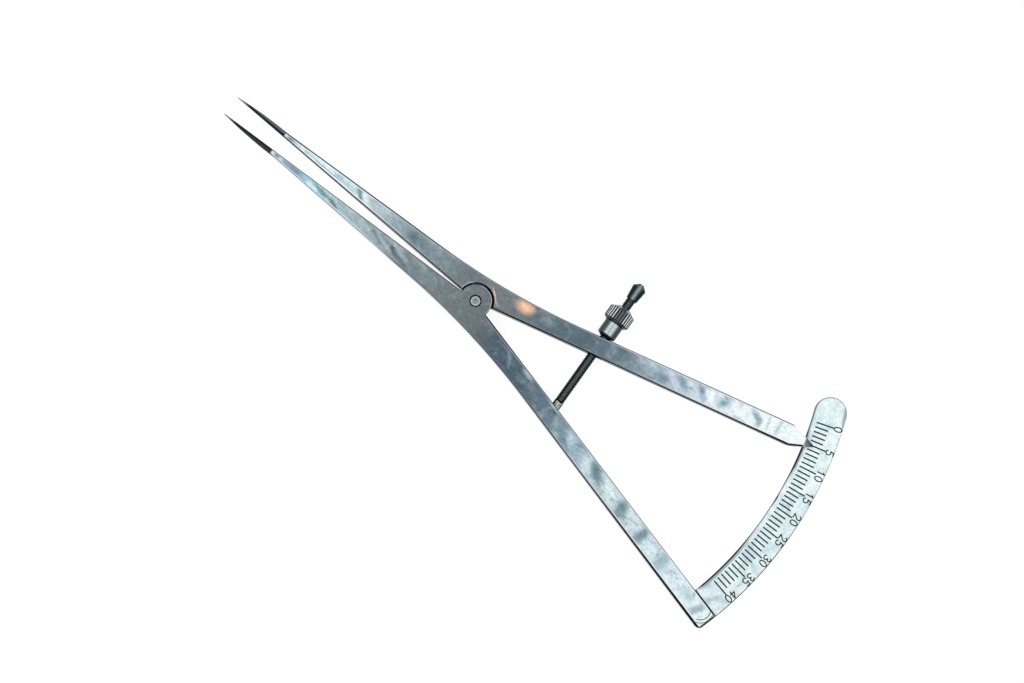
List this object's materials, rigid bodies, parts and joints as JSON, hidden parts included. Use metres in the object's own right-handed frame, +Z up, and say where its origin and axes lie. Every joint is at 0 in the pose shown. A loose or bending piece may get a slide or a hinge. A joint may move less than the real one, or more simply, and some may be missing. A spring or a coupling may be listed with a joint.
{
  "type": "surgical caliper",
  "caption": "Straight measuring caliper: two arms with needle points on a lap-joint pivot, opened and shut by a knurled nut on a threaded rod, with a pointer that reads an arc scale.",
  "frame": {"origin": "centre of the pivot, on the underside of the joint", "axes": "+Y from the pivot to the needle points, +X to the side of the pointer arm, +Z up to the face with the scale"},
  "size_m": [0.0661, 0.1739, 0.0068],
  "materials": {
    "arm_steel": "satin, cloudy",
    "plate_steel": "satin, pale",
    "turned_steel": "turned",
    "blackened_steel": "blackened, satin",
    "gunmetal": "dark satin"
  },
  "bodies": {
    "scale_arm": {"scale_arm": "arm_steel", "scale_plate": "plate_steel", "pivot_rivet": "turned_steel", "rod_hinge_pin": "arm_steel"},
    "pointer_arm": {"pointer_arm": "arm_steel"},
    "screw": {"threaded_rod": "blackened_steel", "rod_end_stop": "gunmetal"},
    "washer": {"seat_washer": "blackened_steel"},
    "nut": {"thumb_nut": "turned_steel"}
  },
  "joints": [
    {"name": "opening", "type": "hinge", "parent": "scale_arm", "child": "pointer_arm", "pos_m": [0, 0, 0.0018], "axis": [0, 0, -1], "range_deg": [-3.72, 26.38]},
    {"name": "rod_swing", "type": "hinge", "parent": "scale_arm", "child": "screw", "pos_m": [-0.01, -0.03171, 0.0018], "axis": [0, 0, -1], "range_deg": [-1.87, 13.2]},
    {"name": "nut_travel", "type": "slide", "parent": "screw", "child": "washer", "axis": [0.9985, 0.0553, 0], "range_m": [-0.01475, 0.0021]},
    {"name": "nut_spin", "type": "hinge", "parent": "washer", "child": "nut", "pos_m": [0.01344, -0.03041, 0.0018], "axis": [0.9985, 0.0553, 0], "continuous": true}
  ],
  "couplings": [
    {"joint": "rod_swing", "follows": "opening", "ratio": 0.5},
    {"joint": "nut_travel", "follows": "opening", "m_per_rad": -0.0319}
  ]
}
